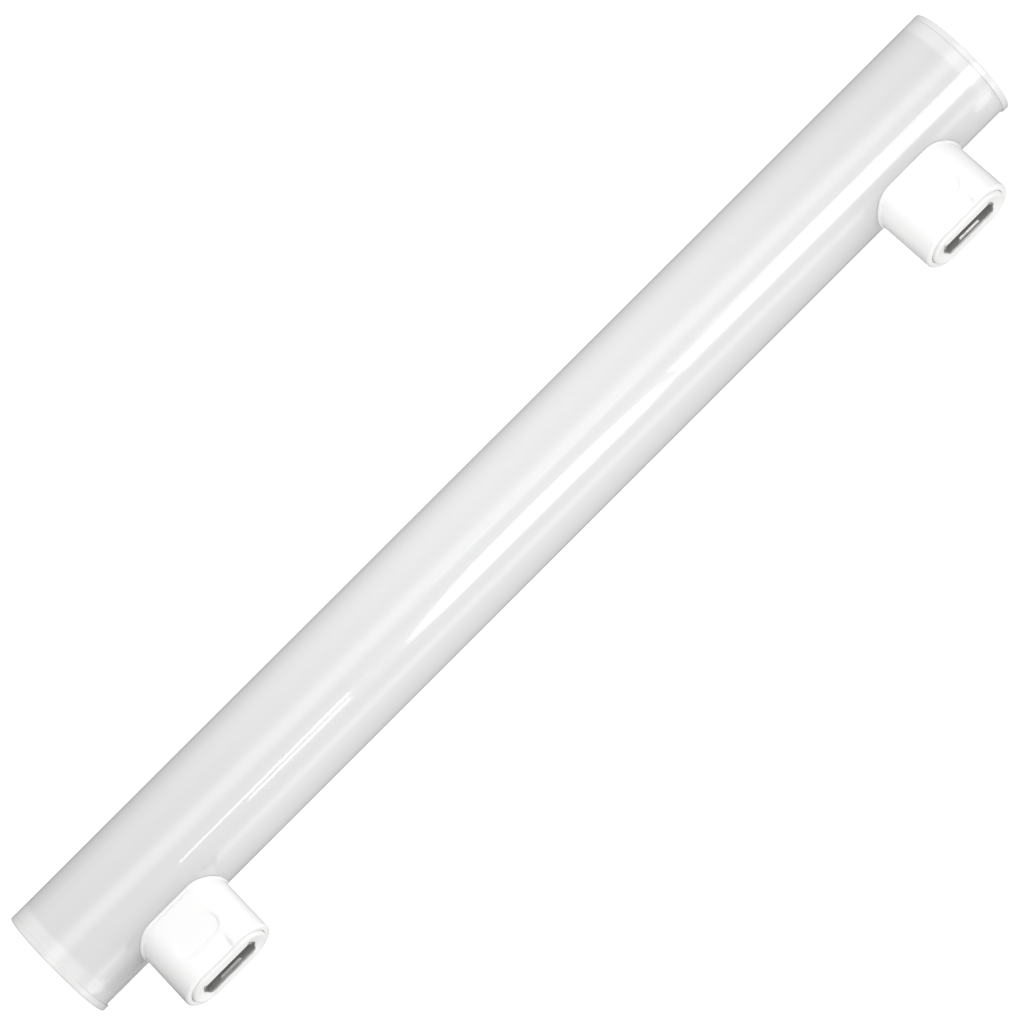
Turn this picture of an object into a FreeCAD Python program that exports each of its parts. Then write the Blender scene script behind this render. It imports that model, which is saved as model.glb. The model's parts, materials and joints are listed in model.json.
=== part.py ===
import FreeCAD, Part
import math
import os
import Sketcher

# A linear lamp with two side caps, lying on a level surface as it comes to rest.
# Each piece is drawn in the lamp's own axes and then laid down by its Placement:
# X along the tube, the caps pointing along -Y, the origin on the tube's axis at
# mid length. Lying down, the lamp is turned about X until the flanges of its end
# plugs and the lower edges of both caps touch the surface together.
# The origin of the part is under the middle of its box, on that surface.

SIZES = {
    # Tube
    "lamp_length": 300,
    "tube_diameter": 30,
    "tube_wall": 1.2,
    "tube_edge_chamfer": 0.1,
    # End plugs
    "flange_thickness": 1.6,
    "flange_lip": 0.5,
    "flange_edge_chamfer": 0.4,
    "spigot_length": 3.8,
    "spigot_gap": 0.15,
    # Side caps
    "cap_inset": 28.9,
    "cap_length": 25.7,
    "cap_width": 13.8,
    "cap_stand_out": 16.8,
    "saddle_gap": 0.1,
    "foot_width": 0.45,
    "foot_height": 0.7,
    "rim_width": 1.5,
    "rim_round": 0.8,
    "mouth_chamfer": 0.3,
    # Detent pocket and lead-in ramp on each flat side of a cap
    "detent_rise": 5,
    "detent_length": 12.6,
    "detent_radius": 3.2,
    "detent_depth": 0.9,
    "detent_flank": 35,
    "ramp_width": 7.6,
    "ramp_length": 4,
    "ramp_depth": 1,
    "ramp_flank": 1.2,
    # Contact carrier in the end of each cap
    "carrier_depth": 8,
    "carrier_gap": 0.1,
    "carrier_proud": 0.8,
    "carrier_edge_chamfer": 0.6,
    "slot_length": 16.2,
    "slot_width": 5.1,
    "slot_depth": 6.4,
    "slot_corner_run": 1.1,
    "slot_corner_rise": 2,
    "funnel_run": 2.2,
    "funnel_depth": 0.5,
    # Contact tray in the slot
    "contact_gap": 0.05,
    "contact_wall": 0.35,
    "contact_setback": 0.15,
    "bead_radius": 0.5,
    "bead_length": 7,
    "bead_drop": 1.15,
}

# Edges this close to a plane lie in it.
PLANE_TOLERANCE = 0.01

doc = FreeCAD.newDocument("lamp")
sheet = doc.addObject("Spreadsheet::Sheet", "sizes")
for row, (alias, size) in enumerate(SIZES.items(), start=1):
    sheet.set(f"A{row}", alias)
    sheet.set(f"B{row}", str(size))
    sheet.setAlias(f"B{row}", alias)
doc.recompute()

# Shares of the driving sizes that more than one piece uses
TUBE_RADIUS = "sizes.tube_diameter / 2"
TUBE_LENGTH = "(sizes.lamp_length - 2 * sizes.flange_thickness)"
FLANGE_RADIUS = "(sizes.tube_diameter + sizes.flange_lip) / 2"
FLANGE_SHIFT = "sizes.flange_lip / 2"
SPIGOT_RADIUS = "(sizes.tube_diameter / 2 - sizes.tube_wall - sizes.spigot_gap)"
SADDLE_RADIUS = "(sizes.tube_diameter / 2 + sizes.saddle_gap)"
CAP_PLACE = "(sizes.lamp_length / 2 - sizes.cap_inset)"
CAP_REACH = "(sizes.tube_diameter / 2 + sizes.cap_stand_out)"
CAP_HALF_LENGTH = "sizes.cap_length / 2"
CAP_HALF_WIDTH = "sizes.cap_width / 2"
CARRIER_INSET = "(sizes.rim_width + sizes.carrier_gap)"
CARRIER_FACE = f"({CAP_REACH} + sizes.carrier_proud)"
SLOT_FLOOR = f"({CARRIER_FACE} - sizes.slot_depth)"
CONTACT_HEIGHT = "(sizes.slot_depth - sizes.contact_setback)"
FOOT_HALF_LENGTH = f"({CAP_HALF_LENGTH} + sizes.foot_width)"
FOOT_REACH = f"({SADDLE_RADIUS} + sizes.foot_height)"
# A cut this long from the middle of a cap's foot passes both of its ends.
THROUGH_FOOT = f"3 * {FOOT_HALF_LENGTH}"

# The lamp lies on circles and rounded edges: the flanges' rims, and the centres of
# the caps' rim rounds, which lie this far out from the tube's axis and to one side.
# Its middle is halfway between the far side of the flanges and whichever stands out
# further on the caps' side, a rim's round or the edge of a carrier's face.
ROUND_REACH = f"({CAP_REACH} - sizes.rim_round)"
ROUND_SIDE = "(sizes.cap_width / 2 - sizes.rim_round)"
LEVER = f"({ROUND_REACH} - {FLANGE_SHIFT})"
DROP = f"({FLANGE_RADIUS} - sizes.rim_round)"
TILT = f"(asin({DROP} / hypot({LEVER}; {ROUND_SIDE})) - atan2({ROUND_SIDE}; {LEVER}))"
AXIS_HEIGHT = f"{FLANGE_RADIUS} + {FLANGE_SHIFT} * sin({TILT})"
RIM_SPAN = f"({ROUND_REACH} * cos({TILT}) + {ROUND_SIDE} * sin({TILT}) + sizes.rim_round)"
FACE_SIDE = f"({CAP_HALF_WIDTH} - {CARRIER_INSET} - sizes.carrier_edge_chamfer)"
FACE_SPAN = f"({CARRIER_FACE} * cos({TILT}) + {FACE_SIDE} * sin({TILT}))"
CAP_SPAN = f"max({RIM_SPAN}; {FACE_SPAN})"
BACK_SPAN = f"{FLANGE_RADIUS} - {FLANGE_SHIFT} * cos({TILT})"
AXIS_SHIFT = f"({CAP_SPAN} - ({BACK_SPAN})) / 2"


def value(expression):
    """The number that an expression of the sizes comes to."""
    result = sheet.evalExpression(expression)
    return float(getattr(result, "Value", result))


def bind(item, path, expression):
    item.setExpression(path, expression)


def new_body(name):
    body = doc.addObject("PartDesign::Body", name)
    body.Label = name
    return body


def lay_down(body, along="0"):
    """Turns a body about X and lifts it to where the lamp comes to rest."""
    turn = FreeCAD.Rotation(FreeCAD.Vector(1, 0, 0), value(TILT))
    body.Placement = FreeCAD.Placement(FreeCAD.Vector(0, 0, 0), turn)
    bind(body, "Placement.Rotation.Angle", TILT)
    bind(body, "Placement.Base.x", along)
    bind(body, "Placement.Base.y", AXIS_SHIFT)
    bind(body, "Placement.Base.z", AXIS_HEIGHT)


def origin_plane(body, role):
    return next(item for item in body.Origin.OriginFeatures if item.Role == role)


def new_sketch(body, name, role, offset="0"):
    """A sketch on one of the body's origin planes, moved out along its normal."""
    sketch = body.newObject("Sketcher::SketchObject", name)
    sketch.AttachmentSupport = [(origin_plane(body, role), "")]
    sketch.MapMode = "FlatFace"
    bind(sketch, "AttachmentOffset.Base.z", offset)
    return sketch


def add_size(sketch, kind, places, expression):
    """A driving dimension of a sketch, bound to an expression."""
    index = sketch.addConstraint(Sketcher.Constraint(kind, *places, value(expression)))
    bind(sketch, f"Constraints[{index}]", expression)


def pin_point(sketch, curve, end, across, up):
    """Holds a point of a curve at a place given by two expressions."""
    for kind, axis, expression in (("DistanceX", -2, across), ("DistanceY", -1, up)):
        if expression == "0":
            sketch.addConstraint(Sketcher.Constraint("PointOnObject", curve, end, axis))
        else:
            add_size(sketch, kind, (-1, 1, curve, end), expression)


def draw_circle(sketch, radius, across="0", up="0"):
    centre = FreeCAD.Vector(value(across), value(up), 0)
    circle = Part.Circle(centre, FreeCAD.Vector(0, 0, 1), value(radius))
    curve = sketch.addGeometry(circle, False)
    pin_point(sketch, curve, 3, across, up)
    add_size(sketch, "Radius", (curve,), radius)


def draw_polygon(sketch, corners):
    """A closed outline of straight edges; each corner is a pair of expressions."""
    places = [FreeCAD.Vector(value(across), value(up), 0) for across, up in corners]
    count = len(places)
    first = None
    for index, place in enumerate(places):
        following = places[(index + 1) % count]
        curve = sketch.addGeometry(Part.LineSegment(place, following), False)
        first = curve if first is None else first
    for index, (across, up) in enumerate(corners):
        before = first + (index - 1) % count
        sketch.addConstraint(Sketcher.Constraint("Coincident", before, 2, first + index, 1))
        pin_point(sketch, first + index, 1, across, up)


def draw_stadium(sketch, half_length, radius):
    """A long round-ended outline about the sketch's origin, lying along its first axis."""
    reach = value(half_length) - value(radius)
    size = value(radius)
    axis = FreeCAD.Vector(0, 0, 1)
    quarter = math.pi / 2
    ends = [Part.Circle(FreeCAD.Vector(x, 0, 0), axis, size) for x in (reach, -reach)]
    top = Part.LineSegment(FreeCAD.Vector(-reach, size, 0), FreeCAD.Vector(reach, size, 0))
    foot = Part.LineSegment(FreeCAD.Vector(reach, -size, 0), FreeCAD.Vector(-reach, -size, 0))
    sketch.addGeometry(top, False)
    sketch.addGeometry(Part.ArcOfCircle(ends[0], -quarter, quarter), False)
    sketch.addGeometry(foot, False)
    sketch.addGeometry(Part.ArcOfCircle(ends[1], quarter, 3 * quarter), False)
    sketch.addConstraint(Sketcher.Constraint("Tangent", 0, 2, 1, 2))
    sketch.addConstraint(Sketcher.Constraint("Tangent", 1, 1, 2, 1))
    sketch.addConstraint(Sketcher.Constraint("Tangent", 2, 2, 3, 2))
    sketch.addConstraint(Sketcher.Constraint("Tangent", 3, 1, 0, 1))
    sketch.addConstraint(Sketcher.Constraint("Horizontal", 0))
    sketch.addConstraint(Sketcher.Constraint("PointOnObject", 1, 3, -1))
    sketch.addConstraint(Sketcher.Constraint("PointOnObject", 3, 3, -1))
    straight = f"({half_length} - {radius})"
    add_size(sketch, "DistanceX", (-1, 1, 1, 3), straight)
    add_size(sketch, "DistanceX", (3, 3, -1, 1), straight)
    add_size(sketch, "Radius", (1,), radius)


def pad(sketch, length, midplane=False, backwards=False):
    body = sketch.getParentGeoFeatureGroup()
    feature = body.newObject("PartDesign::Pad", f"{sketch.Name}_pad")
    feature.Profile = sketch
    feature.SideType = "Symmetric" if midplane else "One side"
    feature.Reversed = backwards
    bind(feature, "Length", length)
    doc.recompute()
    return feature


def pocket(sketch, length, midplane=False, backwards=False, taper=None):
    body = sketch.getParentGeoFeatureGroup()
    feature = body.newObject("PartDesign::Pocket", f"{sketch.Name}_cut")
    feature.Profile = sketch
    feature.SideType = "Symmetric" if midplane else "One side"
    feature.Reversed = backwards
    bind(feature, "Length", length)
    if taper:
        bind(feature, "TaperAngle", taper)
    doc.recompute()
    return feature


def mirror(body, name, originals, role):
    feature = body.newObject("PartDesign::Mirrored", name)
    feature.Originals = originals
    feature.MirrorPlane = (origin_plane(body, role), [""])
    body.Tip = feature
    doc.recompute()
    return feature


def edges_in_plane(feature, axis, place, half_width=math.inf):
    """The names of a feature's edges that lie in one plane square to an axis, and
    that stay within a half width on both sides of the XY plane."""
    names = []
    for index, edge in enumerate(feature.Shape.Edges, start=1):
        box = edge.BoundBox
        low = getattr(box, f"{axis}Min") - place
        high = getattr(box, f"{axis}Max") - place
        within = max(-box.ZMin, box.ZMax) < half_width + PLANE_TOLERANCE
        if within and max(abs(low), abs(high)) < PLANE_TOLERANCE:
            names.append(f"Edge{index}")
    return names


def dress(kind, feature, names, size):
    """A fillet or a chamfer on some edges of a feature."""
    body = feature.getParentGeoFeatureGroup()
    dressed = body.newObject(f"PartDesign::{kind}", f"{feature.Name}_{kind.lower()}")
    dressed.Base = (feature, names)
    bind(dressed, "Radius" if kind == "Fillet" else "Size", size)
    doc.recompute()
    return dressed


def make_tube():
    """The sealed tube, with a seat at each end for the spigot of a plug."""
    body = new_body("opal_tube")
    outline = new_sketch(body, "tube_outline", "YZ_Plane")
    draw_circle(outline, TUBE_RADIUS)
    tube = pad(outline, TUBE_LENGTH, midplane=True)
    end = value(TUBE_LENGTH) / 2
    rims = edges_in_plane(tube, "X", end) + edges_in_plane(tube, "X", -end)
    dress("Chamfer", tube, rims, "sizes.tube_edge_chamfer")
    seat = new_sketch(body, "plug_seat", "YZ_Plane", f"{TUBE_LENGTH} / 2")
    draw_circle(seat, f"{SPIGOT_RADIUS} + sizes.spigot_gap")
    right_seat = pocket(seat, "sizes.spigot_length + sizes.spigot_gap")
    mirror(body, "left_plug_seat", [right_seat], "YZ_Plane")
    lay_down(body)
    return body


def make_end_plug(side, name):
    """A plug: its flange closes the tube and its spigot sits inside. The flange is
    flush with the tube on the far side and stands out as a lip on the caps' side."""
    body = new_body(name)
    inner_face = f"{side} * {TUBE_LENGTH} / 2"
    rim = new_sketch(body, f"{name}_rim", "YZ_Plane", inner_face)
    draw_circle(rim, FLANGE_RADIUS, across=f"-{FLANGE_SHIFT}")
    flange = pad(rim, "sizes.flange_thickness", backwards=side < 0)
    outer = side * value("sizes.lamp_length / 2")
    rim_edge = edges_in_plane(flange, "X", outer)
    dress("Chamfer", flange, rim_edge, "sizes.flange_edge_chamfer")
    core = new_sketch(body, f"{name}_spigot", "YZ_Plane", inner_face)
    draw_circle(core, SPIGOT_RADIUS)
    pad(core, "sizes.spigot_length", backwards=side > 0)
    lay_down(body)
    return body


def make_side_cap(side, name):
    """A side cap: a saddle and a thin foot on the tube, an oblong wall with a rounded
    rim, and on each flat side a detent pocket and a lead-in ramp."""
    body = new_body(name)

    # Foot: the wider outline, kept only as a thin layer round the tube
    foot = new_sketch(body, f"{name}_foot", "XZ_Plane")
    draw_stadium(foot, FOOT_HALF_LENGTH, f"({CAP_HALF_WIDTH} + sizes.foot_width)")
    pad(foot, f"{FOOT_REACH} + sizes.foot_height")
    around = new_sketch(body, f"{name}_around", "YZ_Plane")
    beyond = f"2 * {FOOT_REACH}"
    corners = [("-1", "-1"), ("1", "-1"), ("1", "1"), ("-1", "1")]
    draw_polygon(around, [(f"{x} * {beyond}", f"{y} * {beyond}") for x, y in corners])
    draw_circle(around, FOOT_REACH)
    pocket(around, THROUGH_FOOT, midplane=True)

    # Wall, then the saddle through both, then the rounded rim
    wall = new_sketch(body, f"{name}_wall", "XZ_Plane")
    draw_stadium(wall, CAP_HALF_LENGTH, CAP_HALF_WIDTH)
    pad(wall, CAP_REACH)
    saddle = new_sketch(body, f"{name}_saddle", "YZ_Plane")
    draw_circle(saddle, SADDLE_RADIUS)
    seated = pocket(saddle, THROUGH_FOOT, midplane=True)
    rim_place = -value(CAP_REACH)
    rim = edges_in_plane(seated, "Y", rim_place)
    dress("Fillet", seated, rim, "sizes.rim_round")

    # Cavity for the contact carrier
    cavity = new_sketch(body, f"{name}_cavity", "XZ_Plane", CAP_REACH)
    cavity_half_width = f"({CAP_HALF_WIDTH} - sizes.rim_width)"
    draw_stadium(cavity, f"({CAP_HALF_LENGTH} - sizes.rim_width)", cavity_half_width)
    hollow = pocket(cavity, "sizes.carrier_depth")
    mouth = edges_in_plane(hollow, "Y", rim_place, value(cavity_half_width))
    dress("Chamfer", hollow, mouth, "sizes.mouth_chamfer")

    # Detent pocket: its floor leans, deepest at the edge nearest the rim, and the cut
    # runs out from the floor past the flat side
    detent = new_sketch(body, f"{name}_detent", "XY_Plane")
    lean = FreeCAD.Rotation(FreeCAD.Vector(1, 0, 0), 1)
    detent.AttachmentOffset = FreeCAD.Placement(FreeCAD.Vector(0, 0, 0), lean)
    middle = f"-({CAP_REACH} - sizes.detent_rise - sizes.detent_radius)"
    bind(detent, "AttachmentOffset.Base.y", middle)
    bind(detent, "AttachmentOffset.Base.z", f"{CAP_HALF_WIDTH} - sizes.detent_depth / 2")
    bind(detent, "AttachmentOffset.Rotation.Angle",
         "atan(sizes.detent_depth / (2 * sizes.detent_radius))")
    draw_stadium(detent, "sizes.detent_length / 2", "sizes.detent_radius")
    snap = pocket(detent, "2 * sizes.detent_depth", backwards=True,
                  taper="sizes.detent_flank")

    # Ramp: deepest at the rim, it runs out on the flat side below the detent pocket
    sections = []
    for part, offset, depth in (
        ("mouth", CAP_REACH, "sizes.ramp_depth"),
        ("end", f"({CAP_REACH} - sizes.ramp_length)", "0"),
    ):
        section = new_sketch(body, f"{name}_ramp_{part}", "XZ_Plane", offset)
        floor = f"({CAP_HALF_WIDTH} - {depth})"
        brim = f"({CAP_HALF_WIDTH} + sizes.ramp_depth)"
        low = "sizes.ramp_width / 2"
        rise = f"(sizes.ramp_depth + {depth})"
        high = f"({low} + sizes.ramp_flank * {rise} / sizes.ramp_depth)"
        corners = [(f"-{low}", floor), (low, floor), (high, brim), (f"-{high}", brim)]
        draw_polygon(section, corners)
        sections.append(section)
    ramp = body.newObject("PartDesign::SubtractiveLoft", f"{name}_ramp")
    ramp.Profile = sections[0]
    ramp.Sections = [sections[1]]
    ramp.Ruled = True
    doc.recompute()
    mirror(body, f"{name}_far_side", [snap, ramp], "XY_Plane")
    lay_down(body, f"{side} * {CAP_PLACE}")
    return body


def slot_corners(inset):
    """The slot's long outline with cut corners, drawn in evenly by an inset."""
    run = "sizes.slot_corner_run"
    rise = "sizes.slot_corner_rise"
    slant = f"hypot({run}; {rise})"
    end = f"(sizes.slot_length / 2 - {inset})"
    flat = f"(sizes.slot_length / 2 - {run} - {inset} * ({slant} - {run}) / {rise})"
    wide = f"(sizes.slot_width / 2 - {inset})"
    tip = f"(sizes.slot_width / 2 - {rise} - {inset} * ({slant} - {rise}) / {run})"
    quarter = [(end, tip), (flat, wide), (f"-{flat}", wide), (f"-{end}", tip)]
    return quarter + [(f"-{end}", f"-{tip}"), (f"-{flat}", f"-{wide}"),
                      (flat, f"-{wide}"), (end, f"-{tip}")]


def make_contact_carrier(side, name):
    """The insert in a cap's end: a bevelled lip, a slot, and a funnel at each end."""
    body = new_body(name)
    outline = new_sketch(body, f"{name}_outline", "XZ_Plane",
                         f"({CAP_REACH} - sizes.carrier_depth)")
    half_length = f"({CAP_HALF_LENGTH} - {CARRIER_INSET})"
    draw_stadium(outline, half_length, f"({CAP_HALF_WIDTH} - {CARRIER_INSET})")
    block = pad(outline, "sizes.carrier_depth + sizes.carrier_proud")
    lip = edges_in_plane(block, "Y", -value(CARRIER_FACE))
    dress("Chamfer", block, lip, "sizes.carrier_edge_chamfer")

    slope = new_sketch(body, f"{name}_funnel", "XY_Plane")
    end = "sizes.slot_length / 2"
    inner = f"({end} - sizes.slot_corner_run)"
    face = f"-{CARRIER_FACE}"
    deep = f"(sizes.funnel_depth - {CARRIER_FACE})"
    corners = [(f"({end} + sizes.funnel_run)", face), (end, deep), (inner, deep), (inner, face)]
    draw_polygon(slope, corners)
    right_funnel = pocket(slope, "sizes.slot_width - sizes.slot_corner_run", midplane=True)
    mirror(body, f"{name}_left_funnel", [right_funnel], "YZ_Plane")

    slot = new_sketch(body, f"{name}_slot", "XZ_Plane", CARRIER_FACE)
    draw_polygon(slot, slot_corners("0"))
    pocket(slot, "sizes.slot_depth")
    lay_down(body, f"{side} * {CAP_PLACE}")
    return body


def make_contact(side, name):
    """The contact: a folded tray that lines the slot, with a bead along each long wall."""
    body = new_body(name)
    outline = new_sketch(body, f"{name}_outline", "XZ_Plane", SLOT_FLOOR)
    draw_polygon(outline, slot_corners("sizes.contact_gap"))
    pad(outline, CONTACT_HEIGHT)
    top = f"({SLOT_FLOOR} + {CONTACT_HEIGHT})"
    inside = new_sketch(body, f"{name}_inside", "XZ_Plane", top)
    draw_polygon(inside, slot_corners("(sizes.contact_gap + sizes.contact_wall)"))
    pocket(inside, f"{CONTACT_HEIGHT} - sizes.contact_wall")

    # The end walls stand lower than the long walls, so that the funnels pass over them
    notch = new_sketch(body, f"{name}_notch", "XY_Plane")
    end = "sizes.slot_length / 2"
    inner = f"({end} - sizes.slot_corner_run / 2)"
    low = f"(sizes.funnel_depth - {top})"
    draw_polygon(notch, [(inner, f"-{top}"), (end, f"-{top}"), (end, low), (inner, low)])
    right_notch = pocket(notch, "sizes.slot_width", midplane=True)
    mirror(body, f"{name}_left_notch", [right_notch], "YZ_Plane")

    bead = new_sketch(body, f"{name}_bead", "YZ_Plane")
    out = "(sizes.slot_width / 2 - sizes.contact_gap - sizes.bead_radius)"
    draw_circle(bead, "sizes.bead_radius", across=f"(sizes.bead_drop - {top})", up=out)
    near_bead = pad(bead, "sizes.bead_length", midplane=True)
    mirror(body, f"{name}_far_bead", [near_bead], "XY_Plane")
    lay_down(body, f"{side} * {CAP_PLACE}")
    return body


bodies = [make_tube()]
for side, word in ((-1, "left"), (1, "right")):
    bodies.append(make_end_plug(side, f"{word}_end_plug"))
    bodies.append(make_side_cap(side, f"{word}_side_cap"))
    bodies.append(make_contact_carrier(side, f"{word}_contact_carrier"))
    bodies.append(make_contact(side, f"{word}_contact"))
doc.recompute()

# Every object has to be in order, every cut has to take something away, and every
# piece has to be one closed solid, before any file is written.
CUTS = ("PartDesign::Pocket", "PartDesign::SubtractiveLoft")
for item in doc.Objects:
    if "Invalid" in item.State or "Error" in item.State:
        raise RuntimeError(f"{item.Name} failed: {item.State}")
    if item.TypeId in CUTS and item.Shape.Volume >= item.BaseFeature.Shape.Volume:
        raise RuntimeError(f"{item.Name} cuts nothing")
for body in bodies:
    shape = body.Shape
    if shape.isNull() or not shape.isValid() or len(shape.Solids) != 1:
        raise RuntimeError(f"{body.Label} is not one sound solid")

os.makedirs("parts", exist_ok=True)
for body in bodies:
    body.Shape.exportStep(os.path.join("parts", f"{body.Label}.step"))
    box = body.Shape.BoundBox
    print(body.Label, f"{body.Shape.Volume:.1f} mm3",
          f"x {box.XMin:.2f} {box.XMax:.2f} y {box.YMin:.2f} {box.YMax:.2f}",
          f"z {box.ZMin:.2f} {box.ZMax:.2f}")
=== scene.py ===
"""A linear lamp with two side caps, dressed round its frame. Every length is in metres."""
import bmesh
import bpy
import json
import math
from mathutils import Matrix, Quaternion, Vector


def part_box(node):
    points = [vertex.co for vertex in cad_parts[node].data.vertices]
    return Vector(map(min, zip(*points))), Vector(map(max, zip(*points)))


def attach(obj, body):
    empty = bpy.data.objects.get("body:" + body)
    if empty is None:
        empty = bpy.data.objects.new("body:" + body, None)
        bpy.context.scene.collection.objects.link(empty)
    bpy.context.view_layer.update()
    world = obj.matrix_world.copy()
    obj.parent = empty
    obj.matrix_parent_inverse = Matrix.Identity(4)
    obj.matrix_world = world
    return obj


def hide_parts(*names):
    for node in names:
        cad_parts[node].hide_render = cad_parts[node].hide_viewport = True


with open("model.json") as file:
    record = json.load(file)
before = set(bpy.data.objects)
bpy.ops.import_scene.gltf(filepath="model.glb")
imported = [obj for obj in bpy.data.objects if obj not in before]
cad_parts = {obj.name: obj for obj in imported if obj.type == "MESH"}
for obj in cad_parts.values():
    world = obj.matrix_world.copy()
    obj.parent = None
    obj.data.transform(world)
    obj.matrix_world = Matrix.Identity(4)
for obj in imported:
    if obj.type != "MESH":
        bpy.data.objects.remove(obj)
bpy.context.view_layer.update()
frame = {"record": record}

MM = 0.001

# The lamp's own axes, as in the frame: X along the tube, the caps pointing along -Y,
# the origin on the tube's axis at mid length. Lying down, the lamp is turned about X.
tube_low, tube_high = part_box("opal_tube")
plug_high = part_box("right_end_plug")[1]
cap_low, cap_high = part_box("right_side_cap")
cap_mount = next(mount for mount in frame["record"]["mounts"] if mount["name"] == "right_cap_face")
cap_direction = Vector(cap_mount["axis"])
tilt = math.atan2(-cap_direction.z, -cap_direction.y)
tube_axis = (tube_low + tube_high) / 2
LAY_DOWN = Matrix.Translation((0, tube_axis.y, tube_axis.z)) @ Matrix.Rotation(tilt, 4, "X")

# Tube
TUBE_RADIUS = (tube_high.z - tube_low.z) / 2
TUBE_END = tube_high.x
TUBE_WALL = 1.2 * MM
TUBE_EDGE = 0.02 * MM
SEAT_DEPTH = 3.95 * MM
# Where rings keep the wall straight beside its rounded edge, in multiples of the edge
TUBE_SUPPORTS = (80, 4)

# The dab of glue behind the wall near each end; both lie shifted to the left
GLUE_PLACE = 145.6 * MM
GLUE_SHIFT = 0.9 * MM
GLUE_HEIGHT = 16.1 * MM
GLUE_HALF_LENGTH = 2.7 * MM
GLUE_HALF_WIDTH = 1.8 * MM

# Heights between which the band over each plug fades up from its foot share to full: painted light, as if
# lit from above
LIT_BAND_LOW = 18.5 * MM
LIT_BAND_HIGH = 22.5 * MM

# End plugs
LAMP_END = plug_high.x
FLANGE_RADIUS = 15.246 * MM
FLANGE_SHIFT = 0.25 * MM
FLANGE_ROUND = 0.35 * MM
FLANGE_EDGE = 0.015 * MM
FLANGE_SUPPORTS = (24, 4)
SPIGOT_RADIUS = 13.65 * MM
SPIGOT_LENGTH = 3.8 * MM
SPIGOT_ROUND = 0.3 * MM
# Where the rings of a flat face lie, as shares of the way from its middle to its edge
PLUG_FACE_RINGS = (0.2, 0.6, 0.97)
SPIGOT_FACE_RINGS = (0.6, 0.2)

# Side caps
CAP_PLACE = (cap_low.x + cap_high.x) / 2
CAP_HALF_WIDTH = 6.9 * MM
SPINE = 12.85 * MM - CAP_HALF_WIDTH
CAP_REACH = 31.8 * MM
SADDLE_RADIUS = 15.1 * MM
FOOT_WIDTH = 0.45 * MM
FOOT_HEIGHT = 0.7 * MM
FOOT_EDGE = 0.1 * MM
FOOT_CORNER = 0.22 * MM
RIM_ROUND = 0.8 * MM
MOUTH_REACH = 5.4 * MM
MOUTH_ROUND = 0.3 * MM
CAVITY_DEPTH = 8 * MM
SADDLE_RINGS = (0.05, 0.2, 0.4, 0.55, 0.7, 0.85, 0.95)
CAVITY_FLOOR_RINGS = (0.6, 0.1)

# Dents on the flat sides of a cap, measured from its end. A flank is a slope's run for each
# unit of its depth.
DETENT_NEAR = 5 * MM
DETENT_RADIUS = 3.2 * MM
DETENT_HALF_LENGTH = 6.3 * MM
DETENT_DEPTH = 0.9 * MM
DETENT_FLANK = 0.7
RAMP_HALF_WIDTH = 3.8 * MM
RAMP_LENGTH = 4 * MM
RAMP_DEPTH = 1 * MM
RAMP_FLANK = 1.2
DENT_SOFTNESS = 0.36 * MM

# Contact carrier
CARRIER_REACH = 5.3 * MM
CARRIER_FACE = 32.6 * MM
CARRIER_BACK = 23.8 * MM
LIP_ROUND = 0.7 * MM
SLOT_HALF_LENGTH = 8.1 * MM
SLOT_HALF_WIDTH = 2.55 * MM
SLOT_CORNER_RUN = 1.1 * MM
SLOT_CORNER_RISE = 2 * MM
SLOT_FLOOR = 26.2 * MM
SLOT_EDGE = 0.12 * MM
FUNNEL_REACH = 10.3 * MM - SPINE
FUNNEL_DEPTH = 0.5 * MM
# How far a way out turns towards a slot's end as the funnel there comes in
FUNNEL_TURN = (0.1, 0.6)
CARRIER_BACK_RINGS = (0.1, 0.6, 1)
SLOT_FLOOR_RINGS = (0.5, 0.1)

# Contact
CONTACT_GAP = 0.05 * MM
CONTACT_WALL = 0.35 * MM
CONTACT_TOP = 32.45 * MM
CONTACT_BEND = 0.3 * MM
BEAD_RADIUS = 0.5 * MM
BEAD_RISE = 0.15 * MM
BEAD_HALF_LENGTH = 3.5 * MM
BEAD_DROP = 1.15 * MM
# Degrees round the bead
BEAD_SWINGS = range(-72, 73, 9)
# How straight across a way out points where the bead is, on the long sides alone
BEAD_ACROSS = (0.99, 0.999)
NOTCH_REACH = 7.55 * MM
NOTCH_SOFTNESS = 0.15 * MM
TRAY_BACK_RINGS = (0.1, 0.6)

# How finely the pieces are divided
ROUND_STEPS = 192
ARC_STEPS = 48
SIDE_STEPS = 48
CORNER_STEPS = 6
BEND_STEPS = 4
EDGE_STEPS = 3
WALL_ROWS = 84
FACE_ROWS = 24
SHARP_ANGLE = 40
TINY = 1e-6


def smooth_step(low, high, value):
    """Rises softly from 0 at low to 1 at high."""
    share = min(1, max(0, (value - low) / (high - low)))
    return share * share * (3 - 2 * share)


def mix(first, second, share):
    """The value that lies a share of the way from the first to the second."""
    return first + (second - first) * share


def quarter_turn(steps):
    """The sine and cosine of each step of a quarter turn."""
    angles = [math.pi / 2 * step / steps for step in range(steps + 1)]
    return [(math.sin(angle), math.cos(angle)) for angle in angles]


# Rings: a piece grows from one ring of edges, ring by ring, and is closed at both ends

def ring_edges(grown):
    """The edges of a freshly grown ring, without those that join it to the ring before."""
    verts = {item for item in grown if isinstance(item, bmesh.types.BMVert)}
    edges = [item for item in grown if isinstance(item, bmesh.types.BMEdge)]
    return list(verts), [edge for edge in edges if edge.verts[0] in verts and edge.verts[1] in verts]


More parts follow.
